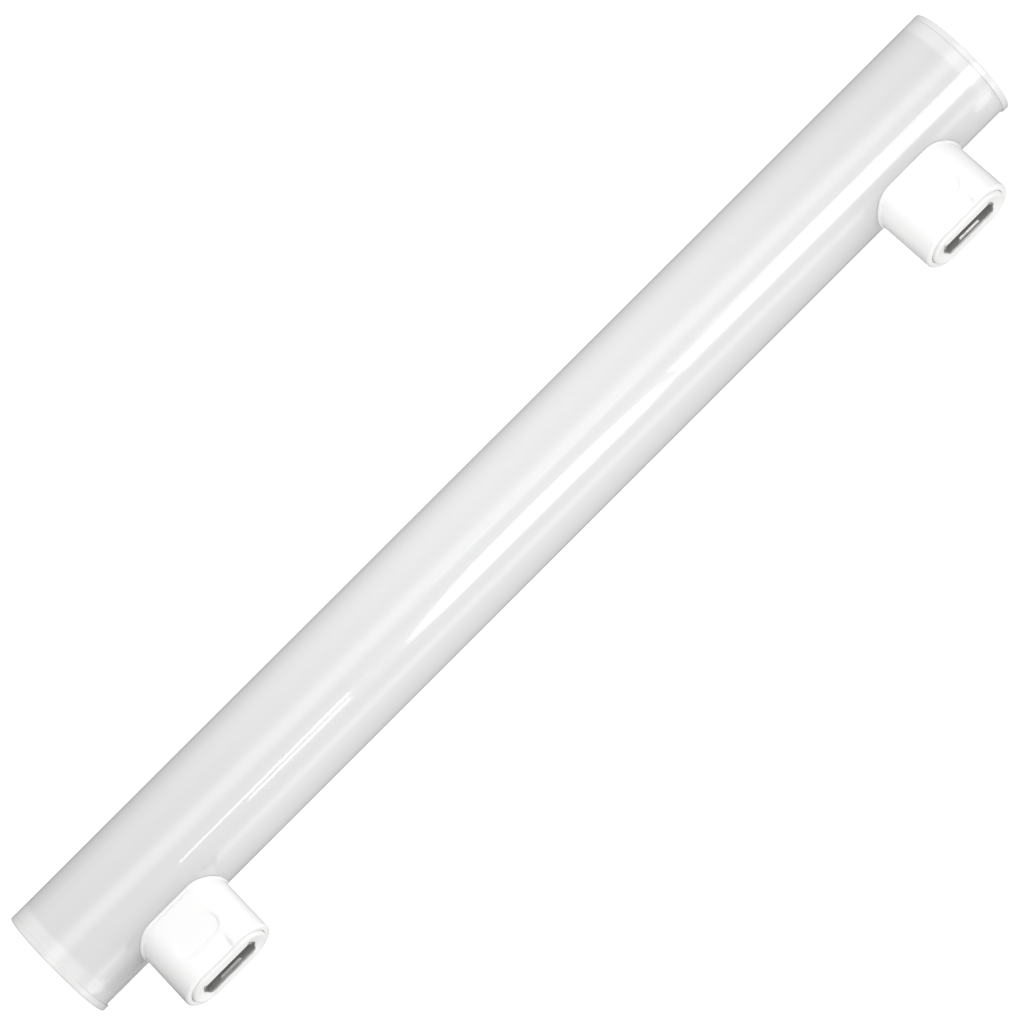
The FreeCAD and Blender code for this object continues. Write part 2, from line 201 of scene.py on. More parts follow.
def oblong_ring(bm, reach):
    """A ring round a straight spine along X: a half turn at each end and two straight sides."""
    start = bm.verts.new((SPINE, 0, -reach))
    bmesh.ops.spin(bm, geom=[start], cent=(SPINE, 0, 0), axis=(0, -1, 0), angle=math.pi, steps=ARC_STEPS)
    bm.verts.ensure_lookup_table()
    ends = [vert for vert in bm.verts if len(vert.link_edges) == 1]
    sides = bmesh.ops.extrude_vert_indiv(bm, verts=ends)
    bmesh.ops.translate(bm, vec=(-SPINE, 0, 0), verts=sides["verts"])
    bmesh.ops.subdivide_edges(bm, edges=sides["edges"], cuts=SIDE_STEPS - 1)
    bmesh.ops.mirror(bm, geom=bm.verts[:] + bm.edges[:], axis="X", merge_dist=TINY)
    return bm.edges[:]


def set_ring(verts, place):
    """Moves a ring's vertices; place gives each one's reach from the spine and its height."""
    for vert in verts:
        spine = max(-SPINE, min(SPINE, vert.co.x))
        out = Vector((vert.co.x - spine, 0, vert.co.z)).normalized()
        reach, height = place(spine, out)
        vert.co = Vector((spine, -height, 0)) + out * reach


def grow_oblong(bm, edges, place):
    """Grows the next ring of an oblong piece."""
    verts, edges = ring_edges(bmesh.ops.extrude_edge_only(bm, edges=edges)["geom"])
    set_ring(verts, place)
    return edges


def grow_round(bm, edges, before, after):
    """Grows the next ring of a turned piece; each station is (place along X, radius, shift)."""
    verts, edges = ring_edges(bmesh.ops.extrude_edge_only(bm, edges=edges)["geom"])
    share = after[1] / before[1]
    middle = Matrix.Translation((0, before[2], 0))
    bmesh.ops.scale(bm, vec=(1, share, share), space=middle.inverted(), verts=verts)
    bmesh.ops.translate(bm, vec=(after[0] - before[0], after[2] - before[2], 0), verts=verts)
    return edges


def turned(stations):
    """A closed piece of round rings along X, from (place along X, radius, shift) stations."""
    bm = bmesh.new()
    along, radius, shift = stations[0]
    stand = Matrix.Translation((along, shift, 0)) @ Matrix.Rotation(math.pi / 2, 4, "Y")
    bmesh.ops.create_circle(bm, segments=ROUND_STEPS, radius=radius, matrix=stand)
    edges = bm.edges[:]
    bmesh.ops.edgeloop_fill(bm, edges=edges)
    for before, after in zip(stations, stations[1:]):
        edges = grow_round(bm, edges, before, after)
    bmesh.ops.edgeloop_fill(bm, edges=edges)
    return bm


def moulded(first_reach, places):
    """A closed piece of oblong rings; the first place sets the ring that it starts from,
    which is drawn at the first reach."""
    bm = bmesh.new()
    edges = oblong_ring(bm, first_reach)
    set_ring(bm.verts, places[0])
    bmesh.ops.edgeloop_fill(bm, edges=edges)
    for place in places[1:]:
        edges = grow_oblong(bm, edges, place)
    bmesh.ops.edgeloop_fill(bm, edges=edges)
    return bm


def add_mesh(bm, name, object_name, material):
    """Turns a mesh under construction into an object in the scene."""
    mesh = bpy.data.meshes.new(name)
    bm.to_mesh(mesh)
    bm.free()
    mesh.materials.append(material)
    added = bpy.data.objects.new(object_name, mesh)
    bpy.context.scene.collection.objects.link(added)
    return added


def finish_piece(bm, name, material, along=0, mirrored=False):
    """Sets a mesh down in the frame and lets it stand for its node."""
    if mirrored:
        bmesh.ops.scale(bm, vec=(-1, 1, 1), verts=bm.verts)
    bmesh.ops.translate(bm, vec=(along, 0, 0), verts=bm.verts)
    bmesh.ops.transform(bm, matrix=LAY_DOWN, verts=bm.verts)
    bmesh.ops.recalc_face_normals(bm, faces=bm.faces)
    piece = add_mesh(bm, name, f"{name}_shell", material)
    piece.data.shade_smooth()
    piece.data.set_sharp_from_angle(angle=math.radians(SHARP_ANGLE))
    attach(piece, "root")
    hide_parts(name)


# Materials

OPAL_TONES = ((0.698, 0.699, 0.700), (0.706, 0.707, 0.706))
OPAL_ROUGHNESS = (0.29, 0.35)
# The band where a spigot shows through: where it begins and is full, from the spigot's inner end, and how
# strong it is at its foot, where it is dimmed as painted shade
BAND_COLOUR = (0.788, 0.788, 0.784)
BAND_SOFTNESS = (-0.3 * MM, 1.1 * MM)
SHADED_BAND_SHARE = 0.25
# The dab of glue: where it fades and how ragged it is, in shares of its half size
GLUE_COLOUR = (0.87, 0.87, 0.865)
GLUE_STRENGTH = 0.8
GLUE_EDGE = (0.5, 1.4)
GLUE_RAGGEDNESS = 0.7
PLUG_COLOUR = (0.80, 0.80, 0.795)
CAP_COLOUR = (0.955, 0.955, 0.95)
# The carrier's own white, set darker than the caps' as painted shade for its funnels and face
CARRIER_SHADED_COLOUR = (0.90, 0.90, 0.89)
FLOW_DARKENING = 0.994
SHEEN_SPREAD = 0.08
NICKEL_TONES = ((0.49, 0.485, 0.475), (0.57, 0.565, 0.555))
NICKEL_ROUGHNESS = (0.09, 0.15)
TARNISH_COLOUR = (0.40, 0.39, 0.375)
TARNISH_STRENGTH = 0.7
EVEN = (1, 1, 1)
WHITE = (1, 1, 1, 1)
BLACK = (0, 0, 0, 1)


def new_material(name):
    """A new material with its node tree and its shader."""
    material = bpy.data.materials.new(name)
    material.use_nodes = True
    tree = material.node_tree
    shader = next(node for node in tree.nodes if node.type == "BSDF_PRINCIPLED")
    return material, tree, shader


def feed(tree, node, inputs):
    """Links or sets each input of a node, by its name or its number."""
    for key, source in inputs.items():
        if isinstance(source, bpy.types.NodeSocket):
            tree.links.new(source, node.inputs[key])
        else:
            node.inputs[key].default_value = source


def wire(tree, shader, **inputs):
    """Feeds a shader; an underscore stands for a space in an input's name."""
    feed(tree, shader, {key.replace("_", " "): source for key, source in inputs.items()})


def add_node(tree, kind, inputs, **settings):
    """A node with its settings and its inputs."""
    node = tree.nodes.new(kind)
    for key, setting in settings.items():
        setattr(node, key, setting)
    feed(tree, node, inputs)
    return node


def resting_place(tree):
    """Object coordinates as the lamp lies: X along the tube, Z up from the floor."""
    return add_node(tree, "ShaderNodeTexCoord", {}).outputs["Object"]


def axes_of(tree, place):
    """The X, Y and Z of a place, as three sockets."""
    return add_node(tree, "ShaderNodeSeparateXYZ", {"Vector": place}).outputs


def object_coordinates(tree, stretch=EVEN):
    """Object coordinates with X along the tube and the lamp's tilt taken out, stretched."""
    level = add_node(tree, "ShaderNodeMapping", {"Vector": resting_place(tree), "Rotation": (-tilt, 0, 0)})
    scaled = add_node(tree, "ShaderNodeMapping", {"Vector": level.outputs[0], "Scale": stretch})
    return scaled.outputs[0]


def noise(tree, scale, stretch=EVEN, detail=3, roughness=0.5):
    """Noise that is laid out in the lamp's own axes."""
    place = object_coordinates(tree, stretch)
    inputs = {"Vector": place, "Scale": scale, "Detail": detail, "Roughness": roughness}
    return add_node(tree, "ShaderNodeTexNoise", inputs).outputs["Fac"]


def ramp(tree, source, stops):
    """A colour ramp; each stop is (place, grey or colour)."""
    node = add_node(tree, "ShaderNodeValToRGB", {"Fac": source})
    elements = node.color_ramp.elements
    while len(elements) < len(stops):
        elements.new(0.5)
    for element, (place, tone) in zip(elements, stops):
        element.position = place
        red, green, blue = tone if isinstance(tone, tuple) else (tone, tone, tone)
        element.color = (red, green, blue, 1)
    return node.outputs["Color"]


def map_range(tree, source, low, high, new_low, new_high, smooth=True):
    """Takes the source from one range to another, softly or evenly."""
    kind = "SMOOTHSTEP" if smooth else "LINEAR"
    inputs = {"Value": source, "From Min": low, "From Max": high, "To Min": new_low, "To Max": new_high}
    return add_node(tree, "ShaderNodeMapRange", inputs, interpolation_type=kind).outputs["Result"]


def math_node(tree, operation, *sources):
    """One sum, product or the like, of numbers or sockets."""
    return add_node(tree, "ShaderNodeMath", dict(enumerate(sources)), operation=operation).outputs[0]


def blend_colours(tree, share, first, second):
    """A blend from a first colour socket to a second colour, by a share."""
    node = add_node(tree, "ShaderNodeMix", {"Factor": share}, data_type="RGBA")
    socket_a, socket_b = (socket for socket in node.inputs if socket.type == "RGBA")
    tree.links.new(first, socket_a)
    socket_b.default_value = (*second, 1)
    return next(socket for socket in node.outputs if socket.type == "RGBA")


def bump(tree, height, distance, normal=None):
    """A normal that is bent by a height, on top of another normal where one is given."""
    inputs = {"Height": height, "Distance": distance, "Strength": 1.0}
    if normal is not None:
        inputs["Normal"] = normal
    return add_node(tree, "ShaderNodeBump", inputs).outputs["Normal"]


def glue_spot(tree):
    """Where the dab of glue that holds each plug shows through, on the caps' side."""
    parts = axes_of(tree, resting_place(tree))
    shifted = math_node(tree, "ABSOLUTE", math_node(tree, "ADD", parts["X"], GLUE_SHIFT))
    run = math_node(tree, "DIVIDE", math_node(tree, "SUBTRACT", shifted, GLUE_PLACE), GLUE_HALF_LENGTH)
    rise = math_node(tree, "DIVIDE", math_node(tree, "SUBTRACT", parts["Z"], GLUE_HEIGHT), GLUE_HALF_WIDTH)
    squares = [math_node(tree, "MULTIPLY", side, side) for side in (run, rise)]
    away = math_node(tree, "SQRT", math_node(tree, "ADD", *squares))
    grain = noise(tree, scale=450, detail=4)
    ragged = map_range(tree, grain, 0.2, 0.8, -GLUE_RAGGEDNESS, GLUE_RAGGEDNESS, smooth=False)
    spot = map_range(tree, math_node(tree, "ADD", away, ragged), *GLUE_EDGE, GLUE_STRENGTH, 0)
    return math_node(tree, "MULTIPLY", spot, math_node(tree, "LESS_THAN", parts["Y"], tube_axis.y))


def opal_material():
    """Milky acrylic: even and pale, lighter where the white plugs show through at the ends, that band
    painted fainter towards the bottom as painted light from above.
    """
    material, tree, shader = new_material("opal_acrylic")
    from_middle = math_node(tree, "ABSOLUTE", axes_of(tree, object_coordinates(tree))["X"])
    band_start, band_full = (TUBE_END - SPIGOT_LENGTH + beyond for beyond in BAND_SOFTNESS)
    over_plug = map_range(tree, from_middle, band_start, band_full, 0, 1)
    height = axes_of(tree, resting_place(tree))["Z"]
    # Painted light: the end band fades towards the bottom of the tube, as if lit from above
    lit_from_above = map_range(tree, height, LIT_BAND_LOW, LIT_BAND_HIGH, SHADED_BAND_SHARE, 1)
    over_plug = math_node(tree, "MULTIPLY", over_plug, lit_from_above)
    cloud = noise(tree, scale=30, stretch=(0.6, 8, 8), detail=5, roughness=0.7)
    body = ramp(tree, cloud, [(0.25, OPAL_TONES[0]), (0.75, OPAL_TONES[1])])
    banded = blend_colours(tree, over_plug, body, BAND_COLOUR)
    colour = blend_colours(tree, glue_spot(tree), banded, GLUE_COLOUR)
    drawn = noise(tree, scale=22, stretch=(0.35, 14, 14))
    skin = noise(tree, scale=900, detail=2)
    waves = bump(tree, drawn, distance=0.01 * MM)
    normal = bump(tree, skin, distance=0.0002 * MM, normal=waves)
    haze = noise(tree, scale=60, stretch=(1, 5, 5), detail=4)
    roughness = map_range(tree, haze, 0.3, 0.7, *OPAL_ROUGHNESS)
    wire(tree, shader, Base_Color=colour, Roughness=roughness, Normal=normal)
    wire(tree, shader, Coat_Weight=1.0, Coat_Roughness=0.03, Coat_IOR=1.49, IOR=1.45)
    wire(tree, shader, Coat_Normal=normal)
    return material


def moulding_material(name, colour, roughness, coat, coat_roughness):
    """White injection moulding: a soft gloss, faint flow marks and a fine skin."""
    material, tree, shader = new_material(name)
    flow = noise(tree, scale=45)
    darker = tuple(FLOW_DARKENING * tone for tone in colour)
    base = ramp(tree, flow, [(0.35, darker), (0.65, colour)])
    skin = noise(tree, scale=700)
    swell = noise(tree, scale=160, detail=1)
    normal = bump(tree, skin, distance=0.002 * MM, normal=bump(tree, swell, distance=0.006 * MM))
    patches = noise(tree, scale=240, detail=4)
    sheen = map_range(tree, patches, 0.3, 0.7, roughness, roughness + SHEEN_SPREAD)
    wire(tree, shader, Base_Color=base, Roughness=sheen, Normal=normal)
    wire(tree, shader, Coat_Weight=coat, Coat_Roughness=coat_roughness, Coat_IOR=1.5, IOR=1.5)
    return material


def contact_material():
    """Nickel-plated sheet: dull, with rolling lines along it and darker tarnish."""
    material, tree, shader = new_material("dull_nickel")
    lines = noise(tree, scale=2600, stretch=(0.06, 1, 1), detail=4, roughness=0.65)
    tarnish = noise(tree, scale=380, detail=5, roughness=0.6)
    clean = ramp(tree, lines, [(0.3, NICKEL_TONES[0]), (0.7, NICKEL_TONES[1])])
    spots = map_range(tree, tarnish, 0.45, 0.75, 0, TARNISH_STRENGTH)
    colour = blend_colours(tree, spots, clean, TARNISH_COLOUR)
    roughness = map_range(tree, tarnish, 0.3, 0.7, *NICKEL_ROUGHNESS)
    normal = bump(tree, lines, distance=0.004 * MM)
    wire(tree, shader, Base_Color=colour, Roughness=roughness, Normal=normal, Metallic=0.45)
    return material


opal = opal_material()
plug_white = moulding_material("plug_moulding", PLUG_COLOUR, roughness=0.29, coat=1.0, coat_roughness=0.03)
cap_white = moulding_material("cap_moulding", CAP_COLOUR, roughness=0.29, coat=0.8, coat_roughness=0.08)
carrier_white = moulding_material("carrier_moulding", CARRIER_SHADED_COLOUR, roughness=0.34, coat=0.3,
                                  coat_roughness=0.08)
nickel = contact_material()


# Pieces

def make_tube():
    """The sealed tube, with a rounded rim and a seat for a plug at each end."""
    seat_radius = TUBE_RADIUS - TUBE_WALL
    right = [(TUBE_END - times * TUBE_EDGE, TUBE_RADIUS, 0) for times in TUBE_SUPPORTS]
    right += [(TUBE_END - TUBE_EDGE * (1 - sine), TUBE_RADIUS - TUBE_EDGE * (1 - cosine), 0)
              for sine, cosine in quarter_turn(CORNER_STEPS)]
    right += [(TUBE_END, seat_radius, 0), (TUBE_END - SEAT_DEPTH, seat_radius, 0)]
    left = [(-along, radius, shift) for along, radius, shift in reversed(right)]
    finish_piece(turned(left + right), "opal_tube", opal)


def make_plug(side, name):
    """An end plug: a flange with a rounded rim, and a spigot that sits inside the tube."""
    shift = -FLANGE_SHIFT
    middle = FLANGE_RADIUS - FLANGE_ROUND
    stations = [(LAMP_END, middle * share, shift) for share in PLUG_FACE_RINGS]
    stations += [(LAMP_END - FLANGE_ROUND * (1 - cosine), middle + FLANGE_ROUND * sine, shift)
                 for sine, cosine in quarter_turn(CORNER_STEPS)]
    stations += [(TUBE_END + times * FLANGE_EDGE, FLANGE_RADIUS, shift) for times in FLANGE_SUPPORTS]
    stations += [(TUBE_END + FLANGE_EDGE * (1 - sine), FLANGE_RADIUS - FLANGE_EDGE * (1 - cosine), shift)
                 for sine, cosine in quarter_turn(EDGE_STEPS)]
    stations += [(TUBE_END, SPIGOT_RADIUS, 0)]
    end = TUBE_END - SPIGOT_LENGTH
    inner = SPIGOT_RADIUS - SPIGOT_ROUND
    stations += [(end + SPIGOT_ROUND * (1 - sine), inner + SPIGOT_ROUND * cosine, 0)
                 for sine, cosine in quarter_turn(CORNER_STEPS)]
    stations += [(end, inner * share, 0) for share in SPIGOT_FACE_RINGS]
    finish_piece(turned(stations), name, plug_white, mirrored=side < 0)


def soft_least(first, second):
    """The lesser of two depths, with a soft corner where they cross."""
    return (first + second - math.hypot(first - second, DENT_SOFTNESS)) / 2


def soft_depth(depth):
    """A depth that fades out softly where it would turn negative."""
    return (depth + math.hypot(depth, DENT_SOFTNESS / 2)) / 2


def dent_depth(along, rise):
    """How deep a cap's flat side is sunk, at a place along it and above the cap's end."""
    far = DETENT_NEAR + 2 * DETENT_RADIUS
    past_end = max(0, abs(along) - (DETENT_HALF_LENGTH - DETENT_RADIUS))
    inside = DETENT_RADIUS - math.hypot(past_end, rise - DETENT_NEAR - DETENT_RADIUS)
    detent_floor = DETENT_DEPTH * (far - rise) / (far - DETENT_NEAR)
    detent = soft_depth(soft_least(detent_floor, inside / DETENT_FLANK))
    ramp_floor = RAMP_DEPTH * (1 - rise / RAMP_LENGTH)
    ramp_side = (RAMP_HALF_WIDTH - abs(along)) / RAMP_FLANK + RAMP_DEPTH
    lead_in = soft_depth(soft_least(ramp_floor, ramp_side))
    return detent + lead_in


def cap_place(reach, around=0.0, level=0.0, share=1.0):
    """A ring of a cap: at a distance round the tube's axis, or level, or between the two.
    Its sides are drawn in by the dents, and its mouth stays as it is."""
    mouth = MOUTH_REACH + MOUTH_ROUND

    def place(spine, out):
        across = out.z * reach
        height = mix(level, math.sqrt(max(0, around * around - across * across)), share)
        drawn_in = reach
        if reach > mouth:
            depth = dent_depth(spine + out.x * reach, CAP_REACH - height) * out.z * out.z
            drawn_in = mix(mouth, reach, (CAP_HALF_WIDTH - mouth - depth) / (CAP_HALF_WIDTH - mouth))
        return drawn_in, height

    return place


def level_place(reach, level):
    """A ring of a cap that is level all round."""
    return cap_place(reach, level=level, share=0)


def make_cap(side, name):
    """A side cap: saddle seat, foot, dented wall, rounded rim, and the carrier's cavity."""
    foot_reach = CAP_HALF_WIDTH + FOOT_WIDTH
    foot_top = SADDLE_RADIUS + FOOT_HEIGHT
    places = [cap_place(foot_reach * share, SADDLE_RADIUS) for share in SADDLE_RINGS]
    places += [cap_place(foot_reach - FOOT_EDGE * (1 - sine), SADDLE_RADIUS + FOOT_EDGE * (1 - cosine))
               for sine, cosine in quarter_turn(EDGE_STEPS)]
    places += [cap_place(foot_reach - FOOT_CORNER * (1 - cosine), foot_top - FOOT_CORNER * (1 - sine))
               for sine, cosine in quarter_turn(CORNER_STEPS)]
    fillet = FOOT_WIDTH - FOOT_CORNER
    places += [cap_place(CAP_HALF_WIDTH + fillet * (1 - sine), foot_top + fillet * (1 - cosine))
               for sine, cosine in quarter_turn(CORNER_STEPS)[1:]]
    rim = CAP_REACH - RIM_ROUND
    wall_foot = foot_top + fillet
    places += [cap_place(CAP_HALF_WIDTH, wall_foot, rim, 1 - row / WALL_ROWS)
               for row in range(1, WALL_ROWS + 1)]
    places += [level_place(CAP_HALF_WIDTH - RIM_ROUND * (1 - cosine), rim + RIM_ROUND * sine)
               for sine, cosine in quarter_turn(2 * CORNER_STEPS)[1:]]
    places += [level_place(MOUTH_REACH + MOUTH_ROUND * (1 - sine), CAP_REACH - MOUTH_ROUND * (1 - cosine))
               for sine, cosine in quarter_turn(CORNER_STEPS)]
    floor = CAP_REACH - CAVITY_DEPTH
    places += [level_place(MOUTH_REACH, mix(CAP_REACH - MOUTH_ROUND, floor, share)) for share in (0.5, 1)]
    places += [level_place(MOUTH_REACH * share, floor) for share in CAVITY_FLOOR_RINGS]
    bm = moulded(foot_reach * SADDLE_RINGS[0], places)
    finish_piece(bm, name, cap_white, along=side * CAP_PLACE)


def slot_reach(out, inset=0.0):
    """How far the slot's outline, drawn in by an inset, lies from the spine on the way out."""
    along = max(abs(out.x), TINY)
    across = max(abs(out.z), TINY)
    end_reach = SLOT_HALF_LENGTH - SPINE
    side = (SLOT_HALF_WIDTH - inset) / across
    end = (end_reach - inset) / along
    slant = math.hypot(SLOT_CORNER_RUN, SLOT_CORNER_RISE)
    corner = end_reach * SLOT_CORNER_RISE + (SLOT_HALF_WIDTH - SLOT_CORNER_RISE) * SLOT_CORNER_RUN
    facing = (along * SLOT_CORNER_RISE + across * SLOT_CORNER_RUN) / slant
    return min(side, end, (corner / slant - inset) / facing)


def funnel_fall(out, reach):
    """How far the carrier's face falls away towards an end of the slot."""
    edge = slot_reach(out)
    slope = (FUNNEL_REACH - reach) / (FUNNEL_REACH - edge)
    return FUNNEL_DEPTH * max(0, min(1, slope)) * smooth_step(*FUNNEL_TURN, abs(out.x))


def face_place(share):
    """A ring of the carrier's face, between its lip at share 0 and the slot at share 1."""

    def place(spine, out):
        reach = mix(CARRIER_REACH - LIP_ROUND, slot_reach(out, -SLOT_EDGE), share)
        return reach, CARRIER_FACE - funnel_fall(out, reach)

    return place


def brink_place(sine, cosine):
    """A ring of the rounded edge where the carrier's face turns down into the slot."""

    def place(spine, out):
        reach = slot_reach(out, -SLOT_EDGE * (1 - sine))
        return reach, CARRIER_FACE - funnel_fall(out, slot_reach(out)) - SLOT_EDGE * (1 - cosine)

    return place


def slot_place(height, share=1.0):
    """A ring of the slot's wall, or of its floor where the share is less than 1."""
    return lambda spine, out: (slot_reach(out) * share, height)


def plain_place(reach, height):
    """A ring at one reach from the spine and at one height."""
    return lambda spine, out: (reach, height)


def make_carrier(side, name):
    """The insert in a cap's end: a rounded lip, the slot, and a funnel at each end of it."""
    places = [plain_place(CARRIER_REACH * share, CARRIER_BACK) for share in CARRIER_BACK_RINGS]
    shoulder = CARRIER_FACE - LIP_ROUND
    places += [plain_place(CARRIER_REACH, mix(CARRIER_BACK, shoulder, share)) for share in (0.5, 0.9)]
    places += [plain_place(CARRIER_REACH - LIP_ROUND * (1 - cosine), shoulder + LIP_ROUND * sine)
               for sine, cosine in quarter_turn(2 * CORNER_STEPS)]
    places += [face_place((row + 1) / FACE_ROWS) for row in range(FACE_ROWS)]
    places += [brink_place(sine, cosine) for sine, cosine in reversed(quarter_turn(EDGE_STEPS))]
    places += [slot_place(mix(CARRIER_FACE, SLOT_FLOOR, share)) for share in (0.25, 1)]
    places += [slot_place(SLOT_FLOOR, share) for share in SLOT_FLOOR_RINGS]
    bm = moulded(CARRIER_REACH * CARRIER_BACK_RINGS[0], places)
    finish_piece(bm, name, carrier_white, along=side * CAP_PLACE)


def notched(height, along):
    """A height on the contact, lowered over its ends, where the funnels pass over it."""
    start, full = NOTCH_REACH - NOTCH_SOFTNESS, NOTCH_REACH + NOTCH_SOFTNESS
    fall = FUNNEL_DEPTH * smooth_step(start, full, abs(along))
    return height - fall * (height - SLOT_FLOOR) / (CONTACT_TOP - SLOT_FLOOR)


def tray_place(inset, height, share=1.0):
    """A ring of the contact, the slot's outline drawn in by an inset."""

    def place(spine, out):
        reach = slot_reach(out, inset) * share
        return reach, notched(height, spine + out.x * reach)

    return place


def bead_place(swing):
    """A ring of the contact's inner wall where a bead bulges from each long side."""
    rise = BEAD_RADIUS * math.sin(swing)
    bulge = BEAD_RADIUS * math.cos(swing)

    def place(spine, out):
        fade = 1 - smooth_step(BEAD_HALF_LENGTH - BEAD_RADIUS, BEAD_HALF_LENGTH, abs(spine))
        flat = smooth_step(*BEAD_ACROSS, abs(out.z))
        inner = slot_reach(out, CONTACT_GAP + CONTACT_WALL)
        height = notched(CONTACT_TOP - BEAD_DROP - rise, spine + out.x * inner)
        return inner - (bulge + BEAD_RISE) * fade * flat, height

    return place


def make_contact(side, name):
    """The contact: a folded tray that lines the slot, with a bead along each long wall."""
    inner = CONTACT_GAP + CONTACT_WALL
    middle = CONTACT_GAP + CONTACT_WALL / 2
    half = CONTACT_WALL / 2
    floor = SLOT_FLOOR + CONTACT_WALL
    bead = CONTACT_TOP - BEAD_DROP
    places = [tray_place(middle, SLOT_FLOOR, share) for share in TRAY_BACK_RINGS]
    places += [tray_place(CONTACT_GAP + CONTACT_BEND * (1 - sine), SLOT_FLOOR + CONTACT_BEND * (1 - cosine))
               for sine, cosine in quarter_turn(BEND_STEPS)]
    places += [tray_place(middle - half * cosine, CONTACT_TOP - half * (1 - sine))
               for sine, cosine in quarter_turn(BEND_STEPS)]
    places += [tray_place(middle + half * sine, CONTACT_TOP - half * (1 - cosine))
               for sine, cosine in quarter_turn(BEND_STEPS)[1:]]
    places += [tray_place(inner, bead + BEAD_RADIUS)]
    places += [bead_place(math.radians(angle)) for angle in BEAD_SWINGS]
    places += [tray_place(inner, bead - BEAD_RADIUS)]
    places += [tray_place(inner + CONTACT_BEND * (1 - cosine), floor + CONTACT_BEND * (1 - sine))
               for sine, cosine in quarter_turn(BEND_STEPS)]
    places += [tray_place(inner, floor, share) for share in SLOT_FLOOR_RINGS]
    bm = moulded(CARRIER_REACH * TRAY_BACK_RINGS[0], places)
    finish_piece(bm, name, nickel, along=side * CAP_PLACE)


make_tube()
for side, word in ((-1, "left"), (1, "right")):
    make_plug(side, f"{word}_end_plug")
    make_cap(side, f"{word}_side_cap")
    make_carrier(side, f"{word}_contact_carrier")
    make_contact(side, f"{word}_contact")


# Stage: a pale floor, a soft studio dome, bright cards that stand in front of the lamp, and
# dark patches close under it

FLOOR_HALF_SIZE = 4
FLOOR_CELLS = 8
FLOOR_GLOW = 0.58
FLOOR_TONE = 0.7
FLOOR_MOTTLE = 0.02
DOME_PEAK = 3
DOME_GAIN = 1.04
# The dome's brightness by the angle up from the front, over the top and down to the back
DOME_TONES = ((-180, 0.50), (-170, 0.42), (-150, 0.35), (-75, 0.35), (-64, 0.50), (-50, 0.70), (-38, 0.90),
              (-32, 1.70), (-26, 2.70), (-20, 1.60), (-12, 0.70), (30, 0.60), (40, 0.70), (46, 1.00),
              (51, 1.80), (58, 2.50), (68, 2.30), (74, 1.20), (84, 0.70), (97, 0.64), (109, 0.95),
              (131, 0.90), (150, 0.75), (162, 0.50), (172, 0.40))
# Its brightness straight to the left and right, where the angles would run together, and
# how far to the side that comes in
ASIDE_TONE = 0.6
ASIDE_REACH = (0.55, 0.95)
# The dome dims towards the left: its share there, and the place along X where it is full
LEFT_SHARE = 0.6
FULL_PLACE = 0.4
CARD_PLACE = -0.5
CARD_RADIANCE = 4.8
FILL_RADIANCE = 1.46
FILL_SIZE = (0.12, 0.30)
FILL_PLACE = (0.02, -0.02, 0.23)
BOUNCE_RADIANCE = 0.85
BOUNCE_SIZE = (0.6, 2.4)
BOUNCE_PLACE = (0, 0, -0.3)
SHADE_HEIGHT = -3 * MM
SHADE_TONE = 0.02

# Camera
CAMERA_AIM = Vector((0, tube_axis.y, tube_axis.z)) + Vector((-0.227, -0.352, -0.335)) * MM
CAMERA_DISTANCE = 1.18467
CAMERA_AZIMUTH = math.radians(-3.3164)
CAMERA_ELEVATION = math.radians(47.4293)
CAMERA_ROLL = math.radians(42.5079)
SENSOR_WIDTH = 36
LENS = 177.717


def add_sheet(name, corners, material):
    """A flat sheet in the scene, from its corners."""
    bm = bmesh.new()
    bmesh.ops.contextual_create(bm, geom=[bm.verts.new(corner) for corner in corners])
    return add_mesh(bm, name, name, material)


def make_floor():
    """The pale floor, seen but not mirrored, which lights and shades nothing."""
    bm = bmesh.new()
    bmesh.ops.create_grid(bm, x_segments=FLOOR_CELLS, y_segments=FLOOR_CELLS, size=FLOOR_HALF_SIZE)
    material, tree, shader = new_material("pale_floor")
    cloud = noise(tree, scale=3, detail=4)
    base = ramp(tree, cloud, [(0.3, FLOOR_TONE), (0.7, FLOOR_TONE + FLOOR_MOTTLE)])
    wire(tree, shader, Base_Color=base, Roughness=0.9, Specular_IOR_Level=0.1)
    wire(tree, shader, Emission_Color=WHITE, Emission_Strength=FLOOR_GLOW)
    floor = add_mesh(bm, "floor", "floor", material)
    floor.visible_glossy = False
    floor.visible_diffuse = False
    floor.visible_shadow = False


def make_card(name, outline, strength=1.0):
    """An upright glowing card in front of the lamp, seen only mirrored in it. Its outline
    is given as (along, height) corners in millimetres."""
    corners = [(along * MM, CARD_PLACE, height * MM) for along, height in outline]
    material, tree, shader = new_material(name)
    wire(tree, shader, Base_Color=BLACK, Specular_IOR_Level=0.0)
    wire(tree, shader, Emission_Color=WHITE, Emission_Strength=CARD_RADIANCE * strength)
    card = add_sheet(name, corners, material)
    card.visible_camera = False
    card.visible_diffuse = False
    card.visible_shadow = False


def make_shade(name, outline, mirrored=False, shading=True):
    """A dark patch close under the lamp, given as (along, across) corners in millimetres. It
    is mirrored in the lamp, or keeps the light from below off what lies over it, or both."""
    corners = [(along * MM, across * MM, SHADE_HEIGHT) for along, across in outline]
    material, tree, shader = new_material(name)
    wire(tree, shader, Base_Color=(SHADE_TONE, SHADE_TONE, SHADE_TONE, 1), Specular_IOR_Level=0.0)
    shade = add_sheet(name, corners, material)
    shade.visible_camera = False
    shade.visible_glossy = mirrored
    shade.visible_diffuse = shading
    shade.visible_shadow = shading


def make_soft_light(name, radiance, size, place, upward=False):
    """A soft light over the lamp, or under it as the pale floor's bounce, that is never mirrored."""
    data = bpy.data.lights.new(name, "AREA")
    data.shape = "RECTANGLE"
    data.size, data.size_y = size
    data.energy = radiance * data.size * data.size_y * math.pi
    light = bpy.data.objects.new(name, data)
    bpy.context.scene.collection.objects.link(light)
    light.location = place
    if upward:
        light.rotation_euler = (math.pi, 0, 0)
    light.visible_camera = False
    light.visible_glossy = False


